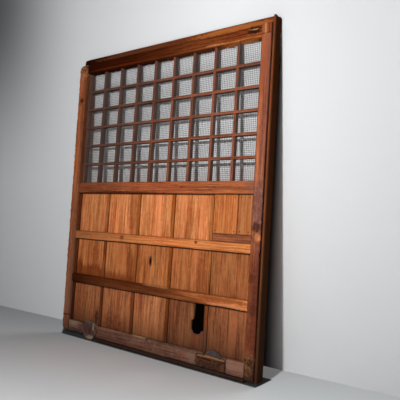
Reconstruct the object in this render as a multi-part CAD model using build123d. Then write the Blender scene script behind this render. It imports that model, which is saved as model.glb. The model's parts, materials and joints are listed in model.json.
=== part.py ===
from build123d import *
import os

# A sliding leaf from a storehouse doorway: a latticed and wire-netted upper half over three rows of
# boarded panels, rolling on two wooden wheels let into the bottom rail. All sizes are millimetres.
# Across is measured from the left edge, depth from the front face and height from the sill.

# The leaf
LEAF_WIDTH = 1360.0
LEAF_HEIGHT = 1696.0
LEAF_THICKNESS = 60.0

# Uprights
LEFT_STILE_WIDTH = 66.0
LEFT_STILE_TAPER = 18.0
RIGHT_STILE_WIDTH = 53.0
EDGE_STRIP_WIDTH = 20.0
EDGE_STRIP_DROP = 10.0
STRIP_GROOVE_WIDTH = 7.0
STRIP_GROOVE_DEPTH = 10.0
LEFT_FOOT_LIFT = 26.0
RIGHT_FOOT_LIFT = 13.0
STILE_ARRIS = 2.0
WORN_HEAD_RADIUS = 8.0

# Head
TONGUE_HEIGHT = 42.0
TONGUE_THICKNESS = 24.0
TOP_RAIL_HEIGHT = 61.0
PATCH_HEIGHT = 50.0
PATCH_THICKNESS = 20.0

# Rails and panel rows, from the sill up
SOLE_LIFT = 2.0
SOLE_HEIGHT = 20.0
BOTTOM_RAIL_HEIGHT = 69.0
LOWER_ROW_HEIGHT = 224.0
LOWER_BATTEN_HEIGHT = 52.0
MIDDLE_ROW_HEIGHT = 210.0
UPPER_BATTEN_HEIGHT = 47.0
UPPER_ROW_HEIGHT = 228.0
MIDDLE_RAIL_HEIGHT = 65.0

# Depths behind the front face
RAIL_RECESS = 8.0
BOTTOM_RAIL_RECESS = 4.0
SOLE_RECESS = 6.0
SOLE_BACK_RECESS = 8.0
BATTEN_THICKNESS = 34.0
MUNTIN_RECESS = 18.0
PANEL_RECESS = 26.0
PANEL_THICKNESS = 12.0
LATTICE_RECESS = 30.0
LATTICE_BAR_DEPTH = 27.0

# Joinery
TENON_LENGTH = 30.0
TENON_THICKNESS = 16.0
TENON_RECESS = 22.0
TENON_SHOULDER = 8.0
PANEL_GROOVE = 6.0
PANEL_CLEARANCE = 0.5
RAIL_ARRIS = 2.0
CUT_MARGIN = 1.0

# Muntins between the panels. The last panel of each row is narrower than the others.
MUNTIN_WIDTH = 20.0
MUNTIN_COUNT = 5
LAST_PANEL_SHORTFALL = 4.0
MUNTIN_GROOVE = 5.0
MUNTIN_ARRIS = 1.5

# Lattice and wire netting
LATTICE_COLUMNS = 9
LATTICE_ROWS = 6
LATTICE_BAR_WIDTH = 14.0
LATTICE_HOUSING = 5.0
LATTICE_ARRIS = 1.0
NET_THICKNESS = 1.6
NET_EDGE = 4.0
NET_STRAND = 3.0
NET_GAPS_PER_CELL = 2
STAPLE_WIDTH = 12.0
STAPLE_WIRE = 1.2

# Repair boards over the last panel of the upper row
REPAIR_GAP = 5.0
REPAIR_SIDE_GAP = 2.0
REPAIR_RECESS = 10.0
REPAIR_HEIGHT = 192.0
REPAIR_JOINT_GAP = 1.0
NARROW_BOARD_WIDTH = 78.0
FILLER_RECESS = 13.0
FILLER_GAP = 1.0
NAIL_HEAD_RADIUS = 3.0
NAIL_HEAD_HEIGHT = 0.8
NAIL_SHANK_RADIUS = 1.2
NAIL_SHANK_LENGTH = 22.0
NAIL_MARGIN = 16.0

# Wheels
WHEEL_RADIUS = 55.0
WHEEL_THICKNESS = 14.0
WHEEL_RECESS = 11.0
WHEEL_INSET = 248.0
WHEEL_DISH_DEPTH = 2.0
WHEEL_DISH_OUTER = 44.0
WHEEL_DISH_INNER = 15.0
WHEEL_ARRIS = 2.0
AXLE_RADIUS = 5.0
AXLE_CLEARANCE = 0.06
AXLE_BEARING = 18.0
AXLE_PROUD = 0.5
AXLE_TIP = 3.5
POCKET_CLEARANCE = 3.0
POCKET_BACK_CLEARANCE = 3.0
COVER_WIDTH = 165.0
COVER_HEIGHT = 64.0
COVER_PROUD = 2.0
COVER_SHIFT = -6.0
COVER_CLEARANCE = 1.0
COVER_GAP = 0.8
COVER_ARRIS = 2.5
COVER_HOLE_RADIUS = 4.0
COVER_HOLE_RISE = 7.0

# Keyhole and drop bolt. The keyhole stands a little left of its panel's middle.
KEYHOLE_COLUMN = 2
KEYHOLE_SHIFT = -16.5
KEYHOLE_RISE = 122.0
KEYHOLE_WIDTH = 11.0
KEYHOLE_HEIGHT = 38.0
BOLT_WIDTH = 30.0
BOLT_THICKNESS = 10.6
BOLT_CLEARANCE = 0.5
BOLT_HEAD_WIDTH = 46.0
BOLT_HEAD_HEIGHT = 32.0
BOLT_KEY_POCKET = 6.0
KEEPER_LEG = 14.0
KEEPER_MARGIN = 6.0

# Broken board in the lower row. The outline is in shares of the hole's width and height.
BREAK_COLUMN = 3
BREAK_FROM_MUNTIN = 4.0
BREAK_WIDTH = 80.0
BREAK_HEIGHT = 153.0
BREAK_OUTLINE = [
    (0.19, 1.0),
    (0.19, 0.47),
    (0.12, 0.43),
    (0.0, 0.42),
    (0.0, 0.13),
    (0.17, 0.02),
    (0.45, 0.0),
    (0.72, 0.04),
    (0.84, 0.13),
    (0.95, 0.09),
    (1.0, 0.17),
    (1.0, 1.0),
]

# Gouge at the right end of the top rail, outlined in the same way
GOUGE_INSET = 13.0
GOUGE_WIDTH = 66.0
GOUGE_HEIGHT = 34.0
GOUGE_DEPTH = 7.0
GOUGE_OUTLINE = [
    (0.0, 0.85),
    (0.3, 0.55),
    (0.45, 0.1),
    (0.85, 0.0),
    (1.0, 0.4),
    (0.95, 0.9),
    (0.4, 0.98),
]

# Places worked out from the sizes
LEFT_EDGE = -LEAF_WIDTH / 2
FRONT = -LEAF_THICKNESS / 2
OPENING_LEFT = LEFT_STILE_WIDTH
STILE_RIGHT = LEAF_WIDTH - EDGE_STRIP_WIDTH
OPENING_RIGHT = STILE_RIGHT - RIGHT_STILE_WIDTH
SHOULDER = LEAF_HEIGHT - TONGUE_HEIGHT
TOP_RAIL_FOOT = SHOULDER - TOP_RAIL_HEIGHT
SOLE_TOP = SOLE_LIFT + SOLE_HEIGHT
BOTTOM_RAIL_TOP = SOLE_TOP + BOTTOM_RAIL_HEIGHT
LOWER_BATTEN_FOOT = BOTTOM_RAIL_TOP + LOWER_ROW_HEIGHT
LOWER_BATTEN_TOP = LOWER_BATTEN_FOOT + LOWER_BATTEN_HEIGHT
UPPER_BATTEN_FOOT = LOWER_BATTEN_TOP + MIDDLE_ROW_HEIGHT
UPPER_BATTEN_TOP = UPPER_BATTEN_FOOT + UPPER_BATTEN_HEIGHT
MIDDLE_RAIL_FOOT = UPPER_BATTEN_TOP + UPPER_ROW_HEIGHT
MIDDLE_RAIL_TOP = MIDDLE_RAIL_FOOT + MIDDLE_RAIL_HEIGHT
BATTEN_BACK = RAIL_RECESS + BATTEN_THICKNESS
PANEL_DEPTHS = (PANEL_RECESS, PANEL_RECESS + PANEL_THICKNESS)
MUNTIN_PITCH = (OPENING_RIGHT - OPENING_LEFT + LAST_PANEL_SHORTFALL) / MUNTIN_COUNT
HALVING = (MUNTIN_RECESS + BATTEN_BACK) / 2
LATTICE_BACK = LATTICE_RECESS + LATTICE_BAR_DEPTH
LATTICE_HALF = LATTICE_RECESS + LATTICE_BAR_DEPTH / 2
COLUMN_PITCH = (OPENING_RIGHT - OPENING_LEFT - LATTICE_BAR_WIDTH) / LATTICE_COLUMNS
ROW_PITCH = (TOP_RAIL_FOOT - MIDDLE_RAIL_TOP) / LATTICE_ROWS
KEYHOLE_PANEL_MIDDLE = OPENING_LEFT + MUNTIN_WIDTH / 2 + (KEYHOLE_COLUMN + 1 / 2) * MUNTIN_PITCH
KEYHOLE_ACROSS = KEYHOLE_PANEL_MIDDLE + KEYHOLE_SHIFT
KEYHOLE_HEIGHT_ABOVE_SILL = LOWER_BATTEN_TOP + KEYHOLE_RISE
LEFT_WHEEL_ACROSS = WHEEL_INSET
RIGHT_WHEEL_ACROSS = LEAF_WIDTH - WHEEL_INSET
POCKET_RADIUS = WHEEL_RADIUS + POCKET_CLEARANCE
POCKET_BACK = WHEEL_RECESS + WHEEL_THICKNESS + POCKET_BACK_CLEARANCE
COVER_BACK = WHEEL_RECESS - COVER_CLEARANCE
ROWS = {
    "lower": (BOTTOM_RAIL_TOP, LOWER_BATTEN_FOOT),
    "middle": (LOWER_BATTEN_TOP, UPPER_BATTEN_FOOT),
    "upper": (UPPER_BATTEN_TOP, MIDDLE_RAIL_FOOT),
}


def block(across, depth, height):
    """A squared timber between two places across, two depths and two heights."""
    size = (across[1] - across[0], depth[1] - depth[0], height[1] - height[0])
    corner = Pos(LEFT_EDGE + across[0], FRONT + depth[0], height[0])
    return corner * Box(*size, align=(Align.MIN, Align.MIN, Align.MIN))


def disc(across, height, radius, depth):
    """A round piece whose axis runs from front to back."""
    middle = Pos(LEFT_EDGE + across, FRONT + (depth[0] + depth[1]) / 2, height)
    return middle * Rot(90, 0, 0) * Cylinder(radius, depth[1] - depth[0])


def plate(points, depth):
    """An upright plate cut to an outline of (across, height) points."""
    outline = [(LEFT_EDGE + across, height) for across, height in points]
    face = make_face(Plane.XZ * Polyline(*outline, close=True))
    return Pos(0, FRONT + depth[1], 0) * extrude(face, depth[1] - depth[0], dir=(0, -1, 0))


def ragged_outline(shares, left, foot, width, height):
    """An outline of shares as (across, height) points."""
    return [(left + width * across, foot + height * up) for across, up in shares]


def ease_front(timber, along, arris):
    """Take the sharp edge off the two long front edges."""
    edges = timber.edges().filter_by(along).group_by(Axis.Y)[0]
    return fillet(edges, arris)


def tenon_heights(height):
    return (height[0] + TENON_SHOULDER, height[1] - TENON_SHOULDER)


def tenons(height):
    """Stub tenons at both ends of a rail that spans the opening."""
    depth = (TENON_RECESS, TENON_RECESS + TENON_THICKNESS)
    span = (OPENING_LEFT - TENON_LENGTH, OPENING_RIGHT + TENON_LENGTH)
    return block(span, depth, tenon_heights(height))


def panel_groove(height):
    """The groove that a row of panels stands in, cut along the whole rail."""
    return block((OPENING_LEFT, OPENING_RIGHT), PANEL_DEPTHS, height)


def muntin_span(index):
    """Left and right of a muntin. Number 0 stands against the left stile."""
    right = OPENING_LEFT + MUNTIN_WIDTH + index * MUNTIN_PITCH
    return (right - MUNTIN_WIDTH, right)


def lattice_upright_span(index):
    left = OPENING_LEFT + index * COLUMN_PITCH
    return (left, left + LATTICE_BAR_WIDTH)


def lattice_crossbar_heights(index):
    middle = TOP_RAIL_FOOT - index * ROW_PITCH
    return (middle - LATTICE_BAR_WIDTH / 2, middle + LATTICE_BAR_WIDTH / 2)


# Uprights

def rail_heights():
    """Foot and top of each timber that is tenoned into the stiles."""
    return [
        (SOLE_TOP, BOTTOM_RAIL_TOP),
        (LOWER_BATTEN_FOOT, LOWER_BATTEN_TOP),
        (UPPER_BATTEN_FOOT, UPPER_BATTEN_TOP),
        (MIDDLE_RAIL_FOOT, MIDDLE_RAIL_TOP),
        (TOP_RAIL_FOOT, SHOULDER),
    ]


def stile_mortises():
    """Every mortise and lattice housing, as one tool that cuts both stiles."""
    tool = Part()
    for height in rail_heights():
        tool += tenons(height)
    housing = (OPENING_LEFT - LATTICE_HOUSING, OPENING_RIGHT + LATTICE_HOUSING)
    for index in range(1, LATTICE_ROWS):
        tool += block(housing, (LATTICE_RECESS, LATTICE_BACK), lattice_crossbar_heights(index))
    return tool


def left_stile():
    """The left upright, planed narrower towards its foot, with eased edges and a worn head."""
    foot, head = LEFT_FOOT_LIFT, SHOULDER
    outline = [(0, head), (LEFT_STILE_TAPER, foot), (OPENING_LEFT, foot), (OPENING_LEFT, head)]
    stile = plate(outline, (0, LEAF_THICKNESS))
    rounded = stile.edges().group_by(Axis.Z)[-1].sort_by(Axis.X)[0]
    stile = fillet(rounded, WORN_HEAD_RADIUS)
    front = stile.faces().sort_by(Axis.Y)[0]
    stile = fillet(front.edges().filter_by(GeomType.LINE), STILE_ARRIS)
    return stile - stile_mortises()


def right_stile():
    """The right upright, grooved for the last panels and rebated for its head patch."""
    stile = block((OPENING_RIGHT, STILE_RIGHT), (0, LEAF_THICKNESS), (RIGHT_FOOT_LIFT, SHOULDER))
    stile -= stile_mortises()
    for foot, head in ROWS.values():
        groove = (OPENING_RIGHT, OPENING_RIGHT + PANEL_GROOVE)
        stile -= block(groove, PANEL_DEPTHS, (foot - PANEL_GROOVE, head + PANEL_GROOVE))
    rebate = (SHOULDER - PATCH_HEIGHT, SHOULDER)
    return stile - block((OPENING_RIGHT, STILE_RIGHT), (0, PATCH_THICKNESS), rebate)


def right_stile_head_patch():
    """The newer block let into the front of the right stile's head."""
    height = (SHOULDER - PATCH_HEIGHT, SHOULDER)
    patch = block((OPENING_RIGHT, STILE_RIGHT), (0, PATCH_THICKNESS), height)
    return ease_front(patch, Axis.X, RAIL_ARRIS)


def right_edge_strip():
    """The closing strip on the outer edge, with a groove where it meets the stile."""
    height = (RIGHT_FOOT_LIFT, LEAF_HEIGHT - EDGE_STRIP_DROP)
    strip = block((STILE_RIGHT, LEAF_WIDTH), (0, LEAF_THICKNESS), height)
    corners = strip.edges().filter_by(Axis.Z).group_by(Axis.X)[-1]
    strip = fillet(corners, RAIL_ARRIS)
    groove = (STILE_RIGHT, STILE_RIGHT + STRIP_GROOVE_WIDTH)
    return strip - block(groove, (0, STRIP_GROOVE_DEPTH), height)


# Rails and battens

def lattice_uprights_housing(height):
    """Housings that take the ends of the lattice uprights."""
    tool = Part()
    for index in range(LATTICE_COLUMNS + 1):
        tool += block(lattice_upright_span(index), (LATTICE_RECESS, LATTICE_BACK), height)
    return tool


def top_rail():
    """The head rail, with the long tongue that runs in the groove of the lintel."""
    height = (TOP_RAIL_FOOT, SHOULDER)
    rail = block((OPENING_LEFT, OPENING_RIGHT), (RAIL_RECESS, LEAF_THICKNESS), height)
    rail = ease_front(rail, Axis.X, RAIL_ARRIS) + tenons(height)
    tongue_front = LEAF_THICKNESS - TONGUE_THICKNESS
    tongue = block((0, STILE_RIGHT), (tongue_front, LEAF_THICKNESS), (SHOULDER, LEAF_HEIGHT))
    rail += fillet(tongue.edges().filter_by(Axis.X).group_by(Axis.Z)[-1], RAIL_ARRIS)
    rail -= lattice_uprights_housing((TOP_RAIL_FOOT, TOP_RAIL_FOOT + LATTICE_HOUSING))
    return rail - top_rail_gouge()


def top_rail_gouge():
    """A splintered hollow at the right end of the head rail."""
    left = OPENING_RIGHT - GOUGE_INSET - GOUGE_WIDTH
    foot = SHOULDER - GOUGE_HEIGHT
    ragged = ragged_outline(GOUGE_OUTLINE, left, foot, GOUGE_WIDTH, GOUGE_HEIGHT)
    return plate(ragged, (RAIL_RECESS - CUT_MARGIN, RAIL_RECESS + GOUGE_DEPTH))


def middle_rail():
    """The rail between lattice and panels."""
    height = (MIDDLE_RAIL_FOOT, MIDDLE_RAIL_TOP)
    rail = block((OPENING_LEFT, OPENING_RIGHT), (RAIL_RECESS, LEAF_THICKNESS), height)
    rail = ease_front(rail, Axis.X, RAIL_ARRIS) + tenons(height)
    rail -= panel_groove((MIDDLE_RAIL_FOOT, MIDDLE_RAIL_FOOT + PANEL_GROOVE))
    return rail - lattice_uprights_housing((MIDDLE_RAIL_TOP - LATTICE_HOUSING, MIDDLE_RAIL_TOP))


def batten(height):
    """A belt across the panels, grooved top and bottom and halved over the muntins."""
    belt = block((OPENING_LEFT, OPENING_RIGHT), (RAIL_RECESS, BATTEN_BACK), height)
    belt = ease_front(belt, Axis.X, RAIL_ARRIS) + tenons(height)
    belt -= panel_groove((height[0], height[0] + PANEL_GROOVE))
    belt -= panel_groove((height[1] - PANEL_GROOVE, height[1]))
    for index in range(MUNTIN_COUNT):
        belt -= block(muntin_span(index), (HALVING, BATTEN_BACK), height)
    return belt


def sole():
    """The narrower foot of the bottom rail. Its left end has broken away as far as the wheel."""
    left = LEFT_WHEEL_ACROSS + POCKET_RADIUS
    depth = (SOLE_RECESS, LEAF_THICKNESS - SOLE_BACK_RECESS)
    return block((left, OPENING_RIGHT), depth, (SOLE_LIFT, SOLE_TOP))


def wheel_pocket(across, depth, height):
    """Room for a wheel: its own circle, carried straight down to the sill."""
    hollow = disc(across, WHEEL_RADIUS, POCKET_RADIUS, depth)
    hollow += block((across - POCKET_RADIUS, across + POCKET_RADIUS), depth, (0, WHEEL_RADIUS))
    slot = block((across - POCKET_RADIUS, across + POCKET_RADIUS), depth, height)
    return hollow & slot


def cover_span():
    middle = RIGHT_WHEEL_ACROSS + COVER_SHIFT
    return (middle - COVER_WIDTH / 2, middle + COVER_WIDTH / 2)


def bottom_rail():
    """The bottom rail: the left wheel's pocket lies open, the right one is behind a cover."""
    height = (SOLE_TOP, BOTTOM_RAIL_TOP)
    rail = block((OPENING_LEFT, OPENING_RIGHT), (BOTTOM_RAIL_RECESS, LEAF_THICKNESS), height)
    rail = ease_front(rail, Axis.X, RAIL_ARRIS) + tenons(height) + sole()
    rail -= panel_groove((BOTTOM_RAIL_TOP - PANEL_GROOVE, BOTTOM_RAIL_TOP))
    open_depth = (BOTTOM_RAIL_RECESS, POCKET_BACK)
    rail -= wheel_pocket(LEFT_WHEEL_ACROSS, open_depth, (0, BOTTOM_RAIL_TOP))
    rail -= wheel_pocket(RIGHT_WHEEL_ACROSS, open_depth, (SOLE_TOP, BOTTOM_RAIL_TOP))
    rail -= wheel_pocket(RIGHT_WHEEL_ACROSS, (COVER_BACK, POCKET_BACK), (0, SOLE_TOP))
    rail -= block(cover_span(), (BOTTOM_RAIL_RECESS, COVER_BACK), (SOLE_TOP, SOLE_TOP + COVER_HEIGHT))
    for across in (LEFT_WHEEL_ACROSS, RIGHT_WHEEL_ACROSS):
        rail -= disc(across, WHEEL_RADIUS, AXLE_RADIUS, (POCKET_BACK, POCKET_BACK + AXLE_BEARING))
    half = BOLT_WIDTH / 2 + BOLT_CLEARANCE
    channel = (KEYHOLE_ACROSS - half, KEYHOLE_ACROSS + half)
    return rail - block(channel, (BATTEN_BACK, LEAF_THICKNESS), (SOLE_LIFT, BOTTOM_RAIL_TOP))


# Muntins and panels

def muntin(index):
    """An upright between panels, halved behind the battens and stubbed into the rails' grooves."""
    left, right = muntin_span(index)
    height = (BOTTOM_RAIL_TOP, MIDDLE_RAIL_FOOT)
    post = block((left, right), (MUNTIN_RECESS, BATTEN_BACK), height)
    post = ease_front(post, Axis.Z, MUNTIN_ARRIS)
    stub = (BOTTOM_RAIL_TOP - PANEL_GROOVE, MIDDLE_RAIL_FOOT + PANEL_GROOVE)
    post += block((left, right), PANEL_DEPTHS, stub)
    post -= block((right - MUNTIN_GROOVE, right), PANEL_DEPTHS, stub)
    if index > 0:
        post -= block((left, left + MUNTIN_GROOVE), PANEL_DEPTHS, stub)
    for belt in ((LOWER_BATTEN_FOOT, LOWER_BATTEN_TOP), (UPPER_BATTEN_FOOT, UPPER_BATTEN_TOP)):
        post -= block((left, right), (MUNTIN_RECESS, HALVING), belt)
    return post


def panel_span(column):
    """Left and right of a panel's own board, with its edges in the grooves beside it."""
    left = muntin_span(column)[1] - MUNTIN_GROOVE + PANEL_CLEARANCE
    if column + 1 < MUNTIN_COUNT:
        return (left, muntin_span(column + 1)[0] + MUNTIN_GROOVE - PANEL_CLEARANCE)
    return (left, OPENING_RIGHT + PANEL_GROOVE - PANEL_CLEARANCE)


def panel(row, column):
    """One board panel, standing in the grooves above and below it."""
    foot, head = ROWS[row]
    edge = PANEL_GROOVE - PANEL_CLEARANCE
    return block(panel_span(column), PANEL_DEPTHS, (foot - edge, head + edge))


def keyhole_panel():
    """The panel with the slot for the storehouse key. Its metal plate is lost."""
    board = panel("middle", KEYHOLE_COLUMN)
    slot = SlotOverall(KEYHOLE_HEIGHT, KEYHOLE_WIDTH, rotation=90)
    face = Plane.XZ * Pos(LEFT_EDGE + KEYHOLE_ACROSS, KEYHOLE_HEIGHT_ABOVE_SILL) * slot
    cutter = Pos(0, FRONT + PANEL_DEPTHS[1], 0) * extrude(face, PANEL_THICKNESS, dir=(0, -1, 0))
    return board - cutter


def broken_panel():
    """The panel with a ragged hole, wider below than above."""
    left = muntin_span(BREAK_COLUMN + 1)[0] - BREAK_FROM_MUNTIN - BREAK_WIDTH
    foot = LOWER_BATTEN_FOOT - BREAK_HEIGHT
    ragged = ragged_outline(BREAK_OUTLINE, left, foot, BREAK_WIDTH, BREAK_HEIGHT + PANEL_GROOVE)
    return panel("lower", BREAK_COLUMN) - plate(ragged, PANEL_DEPTHS)


# Repair over the last upper panel

def repair_span():
    return (muntin_span(MUNTIN_COUNT - 1)[1] + REPAIR_GAP, OPENING_RIGHT - REPAIR_SIDE_GAP)


def repair_heights():
    return (MIDDLE_RAIL_FOOT - REPAIR_HEIGHT, MIDDLE_RAIL_FOOT)


def repair_board(across):
    board = block(across, (REPAIR_RECESS, PANEL_RECESS), repair_heights())
    return ease_front(board, Axis.Z, MUNTIN_ARRIS)


def wide_repair_board():
    left, right = repair_span()
    return repair_board((left, right - NARROW_BOARD_WIDTH - REPAIR_JOINT_GAP))


def narrow_repair_board():
    right = repair_span()[1]
    return repair_board((right - NARROW_BOARD_WIDTH, right))


def repair_filler():
    """The darker piece that fills the gap under the repair boards."""
    height = (UPPER_BATTEN_TOP, repair_heights()[0] - FILLER_GAP)
    filler = block(repair_span(), (FILLER_RECESS, PANEL_RECESS), height)
    return ease_front(filler, Axis.X, MUNTIN_ARRIS)


def nail_places():
    """Nails at the corners of both repair boards."""
    left, right = repair_span()
    joint = right - NARROW_BOARD_WIDTH
    foot, head = repair_heights()
    rows = (foot + NAIL_MARGIN, head - NAIL_MARGIN)
    columns = (left + NAIL_MARGIN, joint - NAIL_MARGIN, joint + NAIL_MARGIN, right - NAIL_MARGIN)
    return [(across, height) for height in rows for across in columns]


def nail_shank(across, height):
    depth = (REPAIR_RECESS, REPAIR_RECESS + NAIL_SHANK_LENGTH)
    return disc(across, height, NAIL_SHANK_RADIUS, depth)


def nail(across, height):
    """A hand-made nail driven in from the front until its head lies on the board."""
    head = disc(across, height, NAIL_HEAD_RADIUS, (REPAIR_RECESS - NAIL_HEAD_HEIGHT, REPAIR_RECESS))
    return head + nail_shank(across, height)


def repair_nails():
    return Compound(children=[nail(across, height) for across, height in nail_places()])


def drill_for_nails(board):
    """Nails go through the repair boards into the panel behind, in holes of their own size."""
    for across, height in nail_places():
        board -= nail_shank(across, height)
    return board


# Lattice and netting

def lattice_upright(index):
    """A lattice bar from rail to rail, halved behind the crossbars."""
    height = (MIDDLE_RAIL_TOP - LATTICE_HOUSING, TOP_RAIL_FOOT + LATTICE_HOUSING)
    bar = block(lattice_upright_span(index), (LATTICE_RECESS, LATTICE_BACK), height)
    bar = ease_front(bar, Axis.Z, LATTICE_ARRIS)
    for row in range(1, LATTICE_ROWS):
        depth = (LATTICE_RECESS, LATTICE_HALF)
        bar -= block(lattice_upright_span(index), depth, lattice_crossbar_heights(row))
    return bar


def lattice_crossbar(index):
    """A lattice bar from stile to stile, halved in front of the uprights."""
    across = (OPENING_LEFT - LATTICE_HOUSING, OPENING_RIGHT + LATTICE_HOUSING)
    height = lattice_crossbar_heights(index)
    bar = block(across, (LATTICE_RECESS, LATTICE_BACK), height)
    bar = ease_front(bar, Axis.X, LATTICE_ARRIS)
    for column in range(LATTICE_COLUMNS + 1):
        bar -= block(lattice_upright_span(column), (LATTICE_HALF, LATTICE_BACK), height)
    return bar


def wire_netting():
    """The netting behind the lattice, with the open part of each cell parted by one strand."""
    depth = (LATTICE_BACK, LATTICE_BACK + NET_THICKNESS)
    net = block((OPENING_LEFT, OPENING_RIGHT), depth, (MIDDLE_RAIL_TOP, TOP_RAIL_FOOT))
    half_bar = LATTICE_BAR_WIDTH / 2
    for row in range(LATTICE_ROWS):
        head = TOP_RAIL_FOOT - row * ROW_PITCH - half_bar - NET_EDGE / 2
        foot = TOP_RAIL_FOOT - (row + 1) * ROW_PITCH + half_bar + NET_EDGE / 2
        for column in range(LATTICE_COLUMNS):
            left = lattice_upright_span(column)[1] + NET_EDGE / 2
            right = lattice_upright_span(column + 1)[0] - NET_EDGE / 2
            strands = (NET_GAPS_PER_CELL - 1) * NET_STRAND
            gap = (right - left - strands) / NET_GAPS_PER_CELL
            for part in range(NET_GAPS_PER_CELL):
                start = left + part * (gap + NET_STRAND)
                net -= block((start, start + gap), depth, (foot, head))
    return net


def staple(across, height):
    """A wire staple lying over the netting."""
    half = STAPLE_WIDTH / 2
    depth = (LATTICE_BACK + NET_THICKNESS, LATTICE_BACK + NET_THICKNESS + STAPLE_WIRE)
    thick = STAPLE_WIRE / 2
    return block((across - half, across + half), depth, (height - thick, height + thick))


def netting_staples():
    """Staples where each crossbar meets every second upright."""
    crowns = []
    for row in range(1, LATTICE_ROWS):
        height = sum(lattice_crossbar_heights(row)) / 2
        for column in range(row % 2, LATTICE_COLUMNS + 1, 2):
            across = sum(lattice_upright_span(column)) / 2
            crowns.append(staple(across, height))
    return Compound(children=crowns)


# Wheels

def wheel(across):
    """A turned wooden wheel, dished on both faces."""
    depth = (WHEEL_RECESS, WHEEL_RECESS + WHEEL_THICKNESS)
    tread = disc(across, WHEEL_RADIUS, WHEEL_RADIUS, depth)
    tread = fillet(tread.edges(), WHEEL_ARRIS)
    for dish_depth in (
        (depth[0], depth[0] + WHEEL_DISH_DEPTH),
        (depth[1] - WHEEL_DISH_DEPTH, depth[1]),
    ):
        dish = disc(across, WHEEL_RADIUS, WHEEL_DISH_OUTER, dish_depth)
        tread -= dish - disc(across, WHEEL_RADIUS, WHEEL_DISH_INNER, dish_depth)
    return tread - disc(across, WHEEL_RADIUS, AXLE_RADIUS + AXLE_CLEARANCE, depth)


def axle(across):
    """A round iron pin, driven into the rail behind the wheel."""
    depth = (WHEEL_RECESS - AXLE_PROUD, POCKET_BACK + AXLE_BEARING)
    pin = disc(across, WHEEL_RADIUS, AXLE_RADIUS, depth)
    return chamfer(pin.edges().group_by(Axis.Y)[-1], AXLE_RADIUS - AXLE_TIP)


def wheel_cover():
    """The block that closes the right wheel's pocket, with an empty nail hole."""
    left, right = cover_span()
    across = (left + COVER_GAP, right - COVER_GAP)
    height = (SOLE_TOP, SOLE_TOP + COVER_HEIGHT)
    depth = (BOTTOM_RAIL_RECESS - COVER_PROUD, COVER_BACK)
    cover = ease_front(block(across, depth, height), Axis.X, COVER_ARRIS)
    return cover - disc(sum(across) / 2, sum(height) / 2 + COVER_HOLE_RISE, COVER_HOLE_RADIUS, depth)


# Drop bolt behind the keyhole

def keeper_heights(belt):
    return (belt[0] + KEEPER_MARGIN, belt[1] - KEEPER_MARGIN)


def keeper(belt):
    """A wooden bridge on the back of a batten that holds the bolt against it."""
    bore = BOLT_WIDTH / 2 + BOLT_CLEARANCE
    outside = bore + KEEPER_LEG
    height = keeper_heights(belt)
    bridge = block(
        (KEYHOLE_ACROSS - outside, KEYHOLE_ACROSS + outside), (BATTEN_BACK, LEAF_THICKNESS), height
    )
    slot = (BATTEN_BACK, BATTEN_BACK + BOLT_THICKNESS + BOLT_CLEARANCE * 2)
    return bridge - block((KEYHOLE_ACROSS - bore, KEYHOLE_ACROSS + bore), slot, height)


def drop_bolt():
    """The bar that falls into the sill. Its head stops it on the upper keeper."""
    depth = (BATTEN_BACK + BOLT_CLEARANCE, BATTEN_BACK + BOLT_CLEARANCE + BOLT_THICKNESS)
    seat = keeper_heights((UPPER_BATTEN_FOOT, UPPER_BATTEN_TOP))[1]
    half, head_half = BOLT_WIDTH / 2, BOLT_HEAD_WIDTH / 2
    bolt = block((KEYHOLE_ACROSS - half, KEYHOLE_ACROSS + half), depth, (SOLE_LIFT, seat))
    head = (KEYHOLE_ACROSS - head_half, KEYHOLE_ACROSS + head_half)
    bolt += block(head, depth, (seat, seat + BOLT_HEAD_HEIGHT))
    key = (KEYHOLE_ACROSS - KEYHOLE_WIDTH / 2, KEYHOLE_ACROSS + KEYHOLE_WIDTH / 2)
    middle = KEYHOLE_HEIGHT_ABOVE_SILL
    pocket = (middle - KEYHOLE_HEIGHT / 2, middle + KEYHOLE_HEIGHT / 2)
    return bolt - block(key, (depth[0], depth[0] + BOLT_KEY_POCKET), pocket)


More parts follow.
